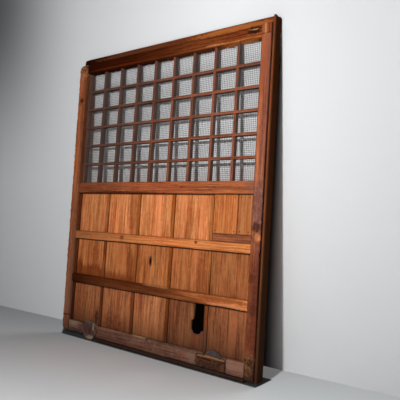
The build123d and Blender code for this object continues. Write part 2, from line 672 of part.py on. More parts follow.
def build_all():
    """Every piece by its name."""
    pieces = {
        "left_stile": left_stile(),
        "right_stile": right_stile(),
        "right_stile_head_patch": right_stile_head_patch(),
        "right_edge_strip": right_edge_strip(),
        "top_rail": top_rail(),
        "middle_rail": middle_rail(),
        "upper_batten": batten((UPPER_BATTEN_FOOT, UPPER_BATTEN_TOP)),
        "lower_batten": batten((LOWER_BATTEN_FOOT, LOWER_BATTEN_TOP)),
        "bottom_rail": bottom_rail(),
        "wide_repair_board": drill_for_nails(wide_repair_board()),
        "narrow_repair_board": drill_for_nails(narrow_repair_board()),
        "repair_filler": repair_filler(),
        "repair_nails": repair_nails(),
        "wire_netting": wire_netting(),
        "netting_staples": netting_staples(),
        "left_wheel": wheel(LEFT_WHEEL_ACROSS),
        "right_wheel": wheel(RIGHT_WHEEL_ACROSS),
        "left_axle": axle(LEFT_WHEEL_ACROSS),
        "right_axle": axle(RIGHT_WHEEL_ACROSS),
        "wheel_cover": wheel_cover(),
        "drop_bolt": drop_bolt(),
        "upper_bolt_keeper": keeper((UPPER_BATTEN_FOOT, UPPER_BATTEN_TOP)),
        "lower_bolt_keeper": keeper((LOWER_BATTEN_FOOT, LOWER_BATTEN_TOP)),
    }
    for index in range(MUNTIN_COUNT):
        pieces[f"muntin_{index + 1}"] = muntin(index)
    for row in ROWS:
        for column in range(MUNTIN_COUNT):
            pieces[f"{row}_panel_{column + 1}"] = panel(row, column)
    last_upper_panel = f"upper_panel_{MUNTIN_COUNT}"
    pieces[last_upper_panel] = drill_for_nails(pieces[last_upper_panel])
    pieces[f"middle_panel_{KEYHOLE_COLUMN + 1}"] = keyhole_panel()
    pieces[f"lower_panel_{BREAK_COLUMN + 1}"] = broken_panel()
    for index in range(LATTICE_COLUMNS + 1):
        pieces[f"lattice_upright_{index + 1}"] = lattice_upright(index)
    for index in range(1, LATTICE_ROWS):
        pieces[f"lattice_crossbar_{index}"] = lattice_crossbar(index)
    return pieces


os.makedirs("parts", exist_ok=True)
for name, piece in build_all().items():
    export_step(piece, f"parts/{name}.step")
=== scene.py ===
import json
import math
from dataclasses import dataclass
from functools import partialmethod

import bpy
from mathutils import Matrix, Vector

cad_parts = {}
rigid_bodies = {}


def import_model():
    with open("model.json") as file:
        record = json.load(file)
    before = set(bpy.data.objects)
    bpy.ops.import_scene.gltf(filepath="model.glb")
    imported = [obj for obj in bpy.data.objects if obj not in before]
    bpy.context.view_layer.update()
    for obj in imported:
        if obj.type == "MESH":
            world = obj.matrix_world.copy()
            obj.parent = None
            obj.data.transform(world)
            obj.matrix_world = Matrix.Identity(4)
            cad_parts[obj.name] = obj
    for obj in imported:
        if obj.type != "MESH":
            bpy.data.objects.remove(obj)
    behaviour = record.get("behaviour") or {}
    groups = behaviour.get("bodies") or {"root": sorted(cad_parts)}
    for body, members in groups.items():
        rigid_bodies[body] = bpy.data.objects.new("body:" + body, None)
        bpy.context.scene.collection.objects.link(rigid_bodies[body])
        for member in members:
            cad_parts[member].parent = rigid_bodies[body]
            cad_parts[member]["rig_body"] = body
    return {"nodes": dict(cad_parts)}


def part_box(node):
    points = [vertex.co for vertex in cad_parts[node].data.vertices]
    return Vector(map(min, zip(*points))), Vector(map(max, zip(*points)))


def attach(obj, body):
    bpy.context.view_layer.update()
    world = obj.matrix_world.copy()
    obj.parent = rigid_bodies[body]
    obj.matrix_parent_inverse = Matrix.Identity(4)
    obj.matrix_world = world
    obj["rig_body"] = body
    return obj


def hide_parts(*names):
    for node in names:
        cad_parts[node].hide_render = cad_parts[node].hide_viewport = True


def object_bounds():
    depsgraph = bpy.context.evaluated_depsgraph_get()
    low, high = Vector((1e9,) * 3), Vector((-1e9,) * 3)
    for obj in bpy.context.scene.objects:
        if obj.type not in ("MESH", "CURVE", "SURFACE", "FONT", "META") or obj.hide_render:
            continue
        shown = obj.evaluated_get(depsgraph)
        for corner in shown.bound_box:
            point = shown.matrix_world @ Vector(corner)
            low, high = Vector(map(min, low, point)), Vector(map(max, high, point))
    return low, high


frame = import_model()

bl_info = {
    "name": "Storehouse door leaf",
    "version": (1, 0, 0),
    "blender": (4, 5, 0),
    "location": "3D View > Sidebar > Door",
    "description": "Gives the old sliding door leaf its worn timber, woven wire netting and studio",
    "category": "Object",
}

# Places on the leaf are given in millimetres from its left edge and above the sill.
MM = 0.001
LEAF_LOW, LEAF_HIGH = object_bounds()
LEFT_EDGE = LEAF_LOW.x
FRONT = LEAF_LOW.y
BACK = LEAF_HIGH.y
# Where each row of panels ends under the rail or batten above it, in millimetres
ROW_HEADS = {"upper": 852, "middle": 577, "lower": 315}
# How much the left stile narrows to its foot, and the sizes of the worn patterns, in metres
STILE_TAPER = 0.018
HEAVE_SIZE, CHIP_SIZE, WHEEL_DENT_SIZE, WHEEL_DENT = 0.12, 0.022, 0.015, 0.0016

# Noise scales of the timber's patterns, and how far they are drawn out along the grain
FIBRE, STREAK, BROAD = 700.0, 120.0, 34.0
CLOUD, SMEAR, DRIFT, BLOT, RUB = 14.0, 45.0, 11.0, 6.5, 40.0
WANDER, CROWD = 9.0, 30.0
LONG_DRAWN, SHORT_DRAWN = 0.06, 0.16
SEED_STEP = 3.7
# In metres: how far ring lines stray, how far rubbing strays from an edge, and how high the grain stands
WANDER_REACH, RUB_REACH, GRAIN_HEIGHT = 0.03, 0.008, 0.0012
# What the wood's colour is multiplied by where it drifts redder or yellower, and where it carries a painted
# highlight
RUDDY, TAWNY, HIGHLIGHT_TINT = (1.01, 0.93, 0.89), (0.97, 1.05, 1.02), (1.3, 1.38, 1.5)
# Where a spot starts to fade and where it ends, as shares of its size
SPOT_CORE, SPOT_RIM = 0.6, 1.15


def paint(red, green, blue):
    """A colour in the 0 to 255 steps of a colour chart, as the linear values that a shader takes."""
    steps = (red / 255, green / 255, blue / 255)
    return tuple(s / 12.92 if s <= 0.04045 else ((s + 0.055) / 1.055) ** 2.4 for s in steps)


def place_across(millimetres):
    return LEFT_EDGE + millimetres * MM


def set_all(thing, settings):
    for key, value in settings.items():
        setattr(thing, key, value)
    return thing


# What a user may change


def colour(name, description, default):
    return bpy.props.FloatVectorProperty(
        name=name, description=description, subtype="COLOR", size=3, min=0.0, max=1.0, default=default
    )


def length(name, description, default):
    return bpy.props.FloatProperty(
        name=name, description=description, subtype="DISTANCE", unit="LENGTH", min=0.0, default=default
    )


def share(name, description, default):
    return bpy.props.FloatProperty(
        name=name, description=description, subtype="FACTOR", min=0.0, max=1.0, default=default
    )


class DoorColours(bpy.types.PropertyGroup):
    """Colours of the leaf's timbers and metal."""

    panel: colour("Panel board", "Pale wood of the cedar panels", paint(222, 142, 90))
    panel_line: colour("Panel grain", "Late wood and streaks in the panels", paint(156, 77, 34))
    smoked: colour("Smoked panel", "Panels of the middle row, darker with age", paint(192, 118, 70))
    smoked_line: colour("Smoked panel grain", "Grain of the middle row", paint(122, 60, 24))
    dusty: colour("Dusty panel", "Panels of the lower row, splashed and dusty", paint(170, 104, 66))
    dusty_line: colour("Dusty panel grain", "Grain of the lower row", paint(86, 40, 22))
    stile: colour("Stile", "Oiled wood of the uprights", paint(188, 108, 68))
    stile_line: colour("Stile grain", "Late wood and streaks in the uprights", paint(110, 46, 22))
    rail: colour("Rail", "Wood of the head rail", paint(146, 74, 36))
    rail_line: colour("Rail grain", "Late wood and streaks in the head rail", paint(78, 26, 8))
    middle: colour("Middle rail", "Wood of the middle rail", paint(176, 98, 60))
    middle_line: colour("Middle rail grain", "Grain of the middle rail", paint(104, 46, 24))
    batten: colour("Batten", "Wood of the two battens", paint(218, 134, 78))
    batten_line: colour("Batten grain", "Late wood and streaks in the battens", paint(156, 80, 36))
    bottom: colour("Bottom rail", "Bare worn wood near the sill", paint(132, 88, 70))
    bottom_line: colour("Bottom rail grain", "Grain of the wood near the sill", paint(72, 44, 34))
    lattice: colour("Lattice bar", "Brown wood of the lattice", paint(146, 86, 64))
    lattice_line: colour("Lattice grain", "Grain of the lattice bars", paint(70, 36, 24))
    wheel: colour("Wheel", "Worn hardwood of the wheels", paint(104, 82, 70))
    bolt: colour("Drop bolt", "Hardwood of the bolt and keepers", paint(118, 72, 46))
    # Also the colour of the painted shade where a timber's face meets its neighbours
    grime_and_shade: colour("Grime", "Dirt in corners and along the foot", paint(40, 24, 16))
    stain: colour("Stain", "Dark oil and water stains", paint(44, 10, 0))
    bare: colour("Bare wood", "Fresh wood where an edge is rubbed or split", paint(200, 138, 90))
    ash: colour("Grey bloom", "Greyed wood where dust and damp have sat", paint(126, 112, 100))
    wire: colour("Wire", "Dull zinc of the netting", paint(60, 54, 50))
    iron: colour("Iron", "Forged iron of axles and nails", paint(52, 44, 40))


class DoorWear(bpy.types.PropertyGroup):
    """How far the timbers are worn."""

    skin: length("Skin", "Size of the facets that a worn timber is carved with", 0.003)
    fine_skin: length("Fine skin", "Facets of the small worn pieces", 0.0015)
    arris: length("Arris reach", "How far from an edge its wear reaches", 0.007)
    chip: length("Chip depth", "Depth of the chips along an edge", 0.004)
    heave: length("Heave", "How far a planed face strays from flat", 0.0012)
    gloss: share("Gloss", "Roughness of oiled wood", 0.52)


class DoorNetting(bpy.types.PropertyGroup):
    """The woven wire behind the lattice."""

    pitch: length("Pitch", "Distance between neighbouring wires", 0.010)
    wire: length("Wire", "Diameter of a wire", 0.0014)
    sway: share("Sway", "How far a wire bends aside at each crossing, as a share of its diameter", 0.4)


class DoorStudio(bpy.types.PropertyGroup):
    """The floor and the wall."""

    floor: colour("Floor", "Pale floor", paint(220, 224, 226))
    wall: colour("Wall", "Pale wall behind the leaf", paint(236, 237, 238))
    shade: share("Contact shade", "How dark the floor and wall are close to the leaf", 0.97)
    gap_at_foot: length("Gap at the foot", "How far behind the leaf the wall meets the floor", 0.241)


# Shader graphs


class Channel:
    """One output of a shader node that can stand in a Python sum."""

    def __init__(self, graph, socket):
        self.graph = graph
        self.socket = socket

    def sum(self, operation, *others):
        return self.graph.node("ShaderNodeMath", {"operation": operation}, [self, *others])

    def __rsub__(self, other):
        return self.graph.node("ShaderNodeMath", {"operation": "SUBTRACT"}, [other, self])

    __add__ = __radd__ = partialmethod(sum, "ADD")
    __mul__ = __rmul__ = partialmethod(sum, "MULTIPLY")
    __sub__ = partialmethod(sum, "SUBTRACT")
    __truediv__ = partialmethod(sum, "DIVIDE")
    __pow__ = partialmethod(sum, "POWER")
    __abs__ = partialmethod(sum, "ABSOLUTE")
    least = partialmethod(sum, "MINIMUM")
    most = partialmethod(sum, "MAXIMUM")

    def rise(self, start, end):
        """0 up to start, 1 from end, with a smooth slope between them."""
        sockets = {"Value": self, "From Min": start, "From Max": end}
        return self.graph.node("ShaderNodeMapRange", {"interpolation_type": "SMOOTHSTEP"}, sockets)

    def fall(self, start, end):
        return 1.0 - self.rise(start, end)

    def grow(self, start, end):
        """0 at start and 1 at end, whichever of the two is lower."""
        return self.rise(start, end) if start < end else self.fall(end, start)


class Graph:
    """The nodes of one material, read from the piece's own coordinates."""

    def __init__(self, name):
        self.material = bpy.data.materials.new(name)
        self.material.use_nodes = True
        self.tree = self.material.node_tree
        self.tree.nodes.clear()
        self.place = self.node("ShaderNodeTexCoord", output="Object")
        parts = self.add("ShaderNodeSeparateXYZ", {}, {"Vector": self.place})
        self.x, self.y, self.z = (Channel(self, socket) for socket in parts.outputs)

    def add(self, kind, settings=None, sockets=None):
        """Any node, with its settings made before its sockets are fed."""
        made = set_all(self.tree.nodes.new(kind), settings or {})
        if sockets:
            pairs = sockets.items() if isinstance(sockets, dict) else enumerate(sockets)
            for key, value in pairs:
                self.feed(made.inputs[key], value)
        return made

    def feed(self, socket, value):
        if isinstance(value, Channel):
            self.tree.links.new(value.socket, socket)
        elif socket.type == "RGBA" and len(value) == 3:
            socket.default_value = (*value, 1.0)
        else:
            socket.default_value = value

    def node(self, kind, settings=None, sockets=None, output=0):
        return Channel(self, self.add(kind, settings, sockets).outputs[output])

    def vector(self, x, y, z):
        return self.node("ShaderNodeCombineXYZ", {}, [x, y, z])

    def noise(self, place, scale, detail=2.0, roughness=0.5, distortion=0.0):
        sockets = {"Vector": place, "Scale": scale, "Detail": detail, "Roughness": roughness}
        return self.node("ShaderNodeTexNoise", {}, {**sockets, "Distortion": distortion})

    def blend(self, factor, first, second, mode="MIX"):
        """Two colours mixed by a factor."""
        settings = {"data_type": "RGBA", "blend_type": mode}
        return self.node("ShaderNodeMix", settings, {0: factor, 6: first, 7: second}, output=2)

    def stretched(self, place, scale):
        return self.node("ShaderNodeVectorMath", {"operation": "MULTIPLY"}, [place, scale])

    def drawn_out(self, grain, share, shift=(0.0, 0.0, 0.0)):
        """The place pressed together along the grain, so that a noise there runs in streaks."""
        scale = (1.0, 1.0, share) if grain == "Z" else (share, 1.0, 1.0)
        moved = self.node("ShaderNodeVectorMath", {"operation": "ADD"}, [self.place, shift])
        return self.stretched(moved, scale)

    def bump(self, height, strength, distance):
        sockets = {"Strength": strength, "Distance": distance, "Height": height}
        return self.node("ShaderNodeBump", {}, sockets)

    def finish(self, base, roughness, normal=None, metallic=0.0, shine=0.5):
        """The surface shader and the material's output."""
        sockets = {"Base Color": base, "Roughness": roughness, "Metallic": metallic}
        sockets["Specular IOR Level"] = shine
        if normal:
            sockets["Normal"] = normal
        surface = self.node("ShaderNodeBsdfPrincipled", {}, sockets)
        self.add("ShaderNodeOutputMaterial", {}, {"Surface": surface})
        return self.material


def spot(graph, across, up, wide, high, ragged=0.3, scale=60.0):
    """An uneven oval patch on the front, 1 in its middle and 0 outside. Sizes in millimetres."""
    dx = (graph.x - place_across(across)) / (wide * MM)
    dz = (graph.z - up * MM) / (high * MM)
    far = (dx * dx + dz * dz) ** 0.5
    stir = (graph.noise(graph.place, scale, 3.0) - 0.5) * (2.0 * ragged)
    return (far + stir).fall(SPOT_CORE, SPOT_RIM)


def band(value, low, high, soft):
    """1 between two places and 0 outside, with soft ends."""
    return value.rise(low - soft, low + soft) * value.fall(high - soft, high + soft)


@dataclass
class Timber:
    """How one kind of wood looks. Reaches and heights are in metres, the rest are shares."""

    pale: tuple
    line: tuple
    ring: float = 0.006
    ring_depth: float = 0.45
    heart: tuple = (0.35, 0.06)
    streak: float = 0.7
    cloud: float = 0.4
    blotch: float = 0.25
    # grime and painted shade: how far from the face's edges they reach and how dark they are
    grime_shade_reach: float = 0.006
    grime_shade_depth: float = 0.5
    edge_light: float = 0.35
    foot_dirt: float = 0.5
    foot_height: float = 0.12
    dry: float = 0.0
    relief: float = 0.4
    shine: float = 0.1


def ring_lines(graph, timber, across, deep, coarse, drawn):
    """Late wood: the dark outer part of each growth ring, wandering a little along the board."""
    wander = graph.noise(coarse, WANDER, 2.0) - 0.5
    side = across + timber.heart[0] + wander * WANDER_REACH
    inward = deep + timber.heart[1]
    radius = (side * side + inward * inward) ** 0.5
    crowd = graph.noise(drawn, CROWD, 1.0) * 0.6
    phase = (radius / timber.ring + crowd).sum("FRACT")
    return phase**2.5 * phase.fall(0.9, 1.0)


def wood(node, grain, timber, marks=(), seed=0.0):
    """A timber's finish: growth rings, fibre, streaks, painted highlights, worn edges, grime and painted
    shade where faces meet, and its own marks.
    """
    colours = bpy.context.scene.door_colours
    graph = Graph(node.replace("_", " "))
    low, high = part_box(node)
    middle = (low + high) / 2
    across, along = graph.x - middle.x, graph.z - middle.z
    if grain == "X":
        across, along = along, across
    deep = graph.y - middle.y
    start = graph.vector(across + seed, deep, along + SEED_STEP * seed)
    drawn, coarse = (graph.stretched(start, (1.0, 1.0, share)) for share in (LONG_DRAWN, SHORT_DRAWN))

    # rings, fibre, streaks and cloudy tone
    late = ring_lines(graph, timber, across, deep, coarse, drawn)
    fibre = graph.noise(drawn, FIBRE, 3.0, 0.6)
    streak = graph.noise(drawn, STREAK, 4.0, 0.65)
    broad = graph.noise(drawn, BROAD, 3.0, 0.6)
    cloud = graph.noise(coarse, CLOUD, 3.0, 0.55, 0.4)
    smear = graph.noise(graph.place, SMEAR, 4.0, 0.6)
    tone = late * timber.ring_depth + (streak - 0.5) * (2.8 * timber.streak) + (fibre - 0.5) * 0.9
    tone = tone + (broad - 0.5) * (1.8 * timber.streak) + (cloud - 0.5) * (2.0 * timber.cloud)
    tone = tone + (smear - 0.5) * 0.5 + 0.3
    surface = graph.blend(tone.rise(-0.1, 1.1), timber.pale, timber.line)

    # the wood's hue drifts, and its pale streaks carry painted highlights
    drift = graph.noise(coarse, DRIFT, 3.0, 0.6).rise(0.35, 0.65)
    ruddy, tawny = (graph.blend(1.0, surface, tint, "MULTIPLY") for tint in (RUDDY, TAWNY))
    surface = graph.blend(drift, ruddy, tawny)
    # painted highlight along the pale streaks
    rubbed = (streak * 0.6 + fibre * 0.4).fall(0.34, 0.46) * 0.7
    surface = graph.blend(rubbed, surface, graph.blend(1.0, surface, HIGHLIGHT_TINT, "MULTIPLY"))
    if timber.blotch:
        blot = graph.noise(coarse, BLOT, 5.0, 0.7, 0.8).rise(0.5, 0.68)
        deepened = graph.blend(0.75, surface, colours.stain, "MULTIPLY")
        surface = graph.blend(blot * timber.blotch, surface, deepened)
        surface = graph.blend(streak.rise(0.62, 0.78) * timber.blotch, surface, colours.stain)

    # worn edges, from the distance to the nearest edge of the squared timber
    sides = zip((graph.x, graph.y, graph.z), low, high)
    gap_x, gap_y, gap_z = ((place - least).least(most - place) for place, least, most in sides)
    edge = gap_x.least(gap_y).most(gap_x.most(gap_y).least(gap_z))
    rub = graph.noise(coarse, RUB, 3.0, 0.6)
    if timber.edge_light:
        worn = (edge + (rub - 0.5) * RUB_REACH).fall(0.0005, 0.004) * rub.rise(0.42, 0.62)
        surface = graph.blend(worn * timber.edge_light, surface, colours.bare)

    # grime and painted shade where the visible face meets its neighbours
    if timber.grime_shade_depth:
        face_gap = gap_x.least(gap_z) + (smear - 0.5) * timber.grime_shade_reach
        dirt_and_shade = face_gap.fall(0.0, timber.grime_shade_reach) * timber.grime_shade_depth
        surface = graph.blend(dirt_and_shade, surface, colours.grime_and_shade)

    # marks of this piece alone
    for mask, tint, depth in (mark(graph) for mark in marks):
        surface = graph.blend(mask * depth, surface, tint)

    # splashed and dusty foot, running up the grain in streaks
    if timber.foot_dirt:
        splash = (graph.z + (streak - 0.5) * 0.16 + (smear - 0.5) * 0.05).fall(0.0, timber.foot_height)
        surface = graph.blend(splash * timber.foot_dirt, surface, colours.grime_and_shade)

    height = late * 0.3 + fibre * 0.5 + streak * 0.5 + smear * 0.15
    gloss = bpy.context.scene.door_wear.gloss + timber.dry
    roughness = (streak - 0.5) * 0.3 + (smear - 0.5) * 0.2 + gloss
    normal = graph.bump(height, timber.relief, GRAIN_HEIGHT)
    return graph.finish(surface, roughness, normal, shine=timber.shine)


# Marks that one piece alone carries. Each gives its mask, its colour and how strong it is.


def patch(across, up, wide, high, tint, depth, ragged=0.3, scale=60.0):
    return lambda graph: (spot(graph, across, up, wide, high, ragged, scale), tint, depth)


def knot(across, up, radius, tint, depth=0.8):
    return patch(across, up, radius * 1.2, radius, tint, depth, 0.15, 180.0)


def tone_across(start, end, tint, depth):
    """A tint that grows from one place across to another, in millimetres. It may run leftwards."""
    return lambda graph: (graph.x.grow(place_across(start), place_across(end)), tint, depth)


def tone_up(start, end, tint, depth):
    """A tint that grows from one height to another, in millimetres. It may run downwards."""
    return lambda graph: (graph.z.grow(start * MM, end * MM), tint, depth)


def tone_deep(start, end, tint, depth):
    """A tint that grows from one depth behind the front to another, in millimetres."""
    return lambda graph: (graph.y.grow(FRONT + start * MM, FRONT + end * MM), tint, depth)


def overhang_shadow(head, reach=9.0, depth=0.9):
    """A painted shadow: the dark line close under a rail or batten that stands proud."""

    def mark(graph):
        close = graph.z.rise((head - reach) * MM, (head - 3.0) * MM)
        return close * graph.z.fall(head * MM, (head + 8.0) * MM), paint(24, 8, 2), depth

    return mark


def drips(top, bottom, tint, depth, spread=60.0):
    """A stain that is full at the bottom height and ends in streaks near the top one."""

    def mark(graph):
        streaks = graph.noise(graph.drawn_out("Z", 0.05, (0.37, 0.0, top * MM)), 75.0, 3.0, 0.6)
        level = graph.z + (streaks - 0.5) * spread * MM * 2.0
        return level.fall(bottom * MM, top * MM), tint, depth

    return mark


def streaks(grain, scale, low, high, tint, depth, shift=0.0):
    """Thin stained lines along the grain."""

    def mark(graph):
        lines = graph.noise(graph.drawn_out(grain, 0.02, (shift, shift, shift)), scale, 4.0, 0.65)
        return lines.rise(low, high), tint, depth

    return mark


def mottle(across, up, wide, high, tint, depth, scale=70.0):
    """Speckles inside an oval."""

    def mark(graph):
        speckle = graph.noise(graph.place, scale, 5.0, 0.7, 0.6).rise(0.44, 0.6)
        return spot(graph, across, up, wide, high, 0.4) * speckle, tint, depth

    return mark


def crack_and_shadow_line(across_from, across_to, up, thickness, tint, depth=0.9):
    """A level dark line that wanders a little."""

    def mark(graph):
        stir = (graph.noise(graph.place, 22.0, 2.0) - 0.5) * 0.008
        level = abs(graph.z - up * MM + stir).fall(thickness * MM * 0.5, thickness * MM)
        stretch = band(graph.x, place_across(across_from), place_across(across_to), 0.002)
        return level * stretch, tint, depth

    return mark


# Carving


def only(piece):
    """Makes one piece the selected and active one."""
    bpy.ops.object.select_all(action="DESELECT")
    piece.select_set(True)
    bpy.context.view_layer.objects.active = piece


def copy_of(node, name):
    """A merged copy of a node's mesh, free to be carved."""
    piece = frame["nodes"][node].copy()
    piece.data = piece.data.copy()
    piece.name = name
    piece.data.name = name
    for key in list(piece.keys()):
        del piece[key]
    piece.parent = None
    bpy.context.scene.collection.objects.link(piece)
    only(piece)
    bpy.ops.object.mode_set(mode="EDIT")
    bpy.ops.mesh.select_all(action="SELECT")
    bpy.ops.mesh.remove_doubles(threshold=0.00001)
    bpy.ops.object.mode_set(mode="OBJECT")
    bpy.ops.mesh.customdata_custom_splitnormals_clear()
    piece.data.materials.clear()
    return piece


def apply(piece, kind, **settings):
    """Adds a modifier, sets it and applies it."""
    modifier = set_all(piece.modifiers.new(kind.title(), kind), settings)
    only(piece)
    bpy.ops.object.modifier_apply(modifier=modifier.name)


def displace(piece, name, size, strength, depth=2, contrast=1.0, group=""):
    """Presses a clouded pattern of one size into a surface, or into one group of its vertices."""
    look = {"noise_scale": size, "noise_depth": depth, "contrast": contrast}
    apply(
        piece, "DISPLACE", texture=set_all(bpy.data.textures.new(name, "CLOUDS"), look),
        texture_coords="LOCAL", strength=strength, mid_level=1.0, vertex_group=group,
    )


def weigh(piece, name, weight_at):
    """A vertex group whose weights come from each vertex's place."""
    group = piece.vertex_groups.new(name=name)
    for vertex in piece.data.vertices:
        weight = weight_at(vertex.co)
        if weight > 0.0:
            group.add([vertex.index], min(weight, 1.0), "REPLACE")
    return group.name


def edge_weight(low, high, reach, lean=0.0):
    """Weight by nearness to an edge of a squared timber. Lean moves its left face in towards the foot."""

    def weight_at(co):
        inward = lean * (high.z - co.z) / (high.z - low.z)
        gaps = sorted((
            min(abs(co.x - low.x - inward), abs(high.x - co.x)),
            min(abs(co.y - low.y), abs(high.y - co.y)),
            min(abs(co.z - low.z), abs(high.z - co.z)),
        ))
        return 1.0 - gaps[1] / reach

    return weight_at


def near(across, up, wide, high):
    """Weight that falls off round a place on the front, in millimetres."""

    def weight_at(co):
        dx = (co.x - place_across(across)) / (wide * MM)
        dz = (co.z - up * MM) / (high * MM)
        return 1.3 * (1.0 - math.hypot(dx, dz))

    return weight_at


def keep_inside(piece, low, high):
    """Wear only takes wood away, so nothing may stand outside the squared timber."""
    for vertex in piece.data.vertices:
        vertex.co = [min(max(v, least), most) for v, least, most in zip(vertex.co, low, high)]


def carve(node, name="", fine=0.0, lean=0.0, chip=1.0, heave=1.0, keep=0.5, rounded=(), eaten=()):
    """A worn copy of a squared timber: heaving faces, rubbed and chipped edges.

    Fine is a multiple of the fine skin, or 0 for the plain one. Rounded lists places and smoothing
    passes. Eaten lists places, depths and the size of the bites.
    """
    wear = bpy.context.scene.door_wear
    skin = wear.fine_skin * fine if fine else wear.skin
    piece = copy_of(node, name or f"worn_{node}")
    low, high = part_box(node)
    apply(piece, "REMESH", mode="VOXEL", voxel_size=skin, adaptivity=0.0)
    edges = weigh(piece, "arris", edge_weight(low, high, wear.arris, lean))
    apply(piece, "SMOOTH", factor=0.5, iterations=3, vertex_group=edges)
    for weight_at, passes in rounded:
        place = weigh(piece, "rounded place", weight_at)
        apply(piece, "SMOOTH", factor=0.5, iterations=passes, vertex_group=place)
    displace(piece, "heave", HEAVE_SIZE, wear.heave * heave)
    displace(piece, "chips", CHIP_SIZE, wear.chip * chip, 3, 2.6, edges)
    for weight_at, depth, size in eaten:
        displace(piece, "bites", size, depth, 3, 1.8, weigh(piece, "eaten place", weight_at))
    if keep < 1.0:
        apply(piece, "DECIMATE", ratio=keep)
    keep_inside(piece, low, high)
    piece.vertex_groups.clear()
    only(piece)
    bpy.ops.object.shade_smooth()
    return piece


def dress(piece, node, grain, timber, marks, seed):
    """A carved piece takes a node's place and body, in a wood of its own."""
    piece.data.materials.append(wood(node, grain, timber, marks, seed))
    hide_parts(node)
    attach(piece, frame["nodes"][node]["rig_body"])


def finish_node(node, material):
    """A node keeps its shape and takes a better finish."""
    materials = frame["nodes"][node].data.materials
    materials.clear()
    materials.append(material)


def finish_wood(node, *look):
    finish_node(node, wood(node, *look))


# Operators


class DOOR_OT_stiles(bpy.types.Operator):
    """Carve and finish the two stiles, the head patch and the closing strip"""

    bl_idname = "door.stiles"
    bl_label = "Stiles"

    def execute(self, context):
        colours = context.scene.door_colours
        look = Timber(colours.stile, colours.stile_line, heart=(0.05, 0.09), ring=0.007, foot_height=0.1)
        head, foot = near(24, 1656, 50, 46), near(30, 20, 70, 60)
        left = carve(
            "left_stile", lean=STILE_TAPER, chip=1.3,
            rounded=[(head, 90), (foot, 40)], eaten=[(head, 0.010, 0.015), (foot, 0.006, 0.03)],
        )
        umber = paint(96, 58, 38)
        marks = (
            tone_across(34, 66, umber, 0.55),
            tone_up(900, 150, paint(112, 84, 66), 0.5),
            patch(30, 75, 60, 60, umber, 0.5, 0.4),
            streaks("Z", 90.0, 0.56, 0.7, colours.stain, 0.5, 0.4),
            knot(38, 1425, 15, colours.stain, 0.75),
            patch(20, 1425, 26, 40, colours.stain, 0.35, 0.4),
            crack_and_shadow_line(0, 66, 118, 4.0, colours.stain),
            mottle(28, 1612, 46, 60, colours.bare, 0.9, 110.0),
            mottle(28, 1630, 50, 40, colours.grime_and_shade, 0.8, 75.0),
        )
        dress(left, "left_stile", "Z", look, marks, 0.3)

        foot = near(1320, 40, 60, 60)
        right = carve(
            "right_stile", rounded=[(foot, 25)],
            eaten=[(foot, 0.006, 0.02), (near(1338, 700, 22, 500), 0.004, 0.05)],
        )
        plum, ochre = paint(98, 60, 54), paint(128, 92, 58)
        marks = (
            tone_across(1306, 1334, plum, 0.55),
            tone_up(760, 480, paint(80, 30, 12), 0.72),
            tone_up(150, 30, paint(74, 48, 32), 0.6),
            patch(1316, 800, 34, 120, plum, 0.7, 0.5),
            patch(1300, 1100, 20, 220, paint(206, 124, 84), 0.3, 0.5),
            patch(1304, 1500, 40, 150, paint(146, 80, 54), 0.6, 0.5),
            streaks("Z", 70.0, 0.55, 0.7, plum, 0.7, 0.9),
            patch(1318, 1150, 12, 200, plum, 0.4, 0.6),
            patch(1312, 700, 30, 26, colours.stain, 0.7, 0.8),
            patch(1306, 650, 22, 26, paint(88, 50, 36), 0.6, 0.7),
            patch(1324, 654, 19, 22, paint(190, 108, 50), 0.75, 0.5, 70.0),
            patch(1330, 650, 10, 10, paint(206, 134, 72), 0.6, 0.5, 110.0),
            patch(1300, 470, 26, 24, colours.stain, 0.4, 0.5),
            patch(1322, 330, 22, 30, colours.stain, 0.4, 0.5),
            mottle(1320, 780, 40, 190, paint(150, 104, 88), 0.45, 55.0),
            mottle(1320, 330, 40, 260, paint(70, 30, 16), 0.5, 50.0),
            mottle(1314, 74, 60, 80, ochre, 0.75, 60.0),
            mottle(1314, 50, 60, 90, colours.grime_and_shade, 0.9, 80.0),
            tone_up(44, 16, colours.grime_and_shade, 0.85),
        )
        dress(right, "right_stile", "Z", look, marks, 0.8)

        block = carve("right_stile_head_patch", "worn_head_patch", fine=1.0, chip=0.6)
        marks = (patch(1308, 1630, 6, 70, colours.bare, 0.6), patch(1328, 1640, 8, 60, colours.stain, 0.5))
        dress(block, "right_stile_head_patch", "Z", look, marks, 1.4)
        self.closing_strip(colours)
        return {"FINISHED"}

    def closing_strip(self, colours):
        """A strip with a light front edge, painted shade in the groove beside it, and a side darkened by
        painted shade.
        """
        look = Timber(
            paint(142, 84, 50), colours.stile_line, heart=(0.05, 0.09), grime_shade_depth=0.0, shine=0.0
        )
        strip = carve("right_edge_strip", "worn_edge_strip", fine=1.4, chip=0.7, keep=0.3)
        marks = (
            # painted shade on the side: brown from the front, near-black further back
            tone_deep(0, 3, paint(72, 40, 24), 0.95),
            tone_deep(6, 16, paint(4, 3, 3), 0.99),
            # painted shade along the groove at the left and on the right edge
            tone_across(1349, 1345, paint(26, 8, 2), 0.95),
            tone_across(1352, 1358, paint(84, 46, 26), 0.85),
            tone_up(900, 150, paint(58, 40, 28), 0.8),
        )
        dress(strip, "right_edge_strip", "Z", look, marks, 2.2)


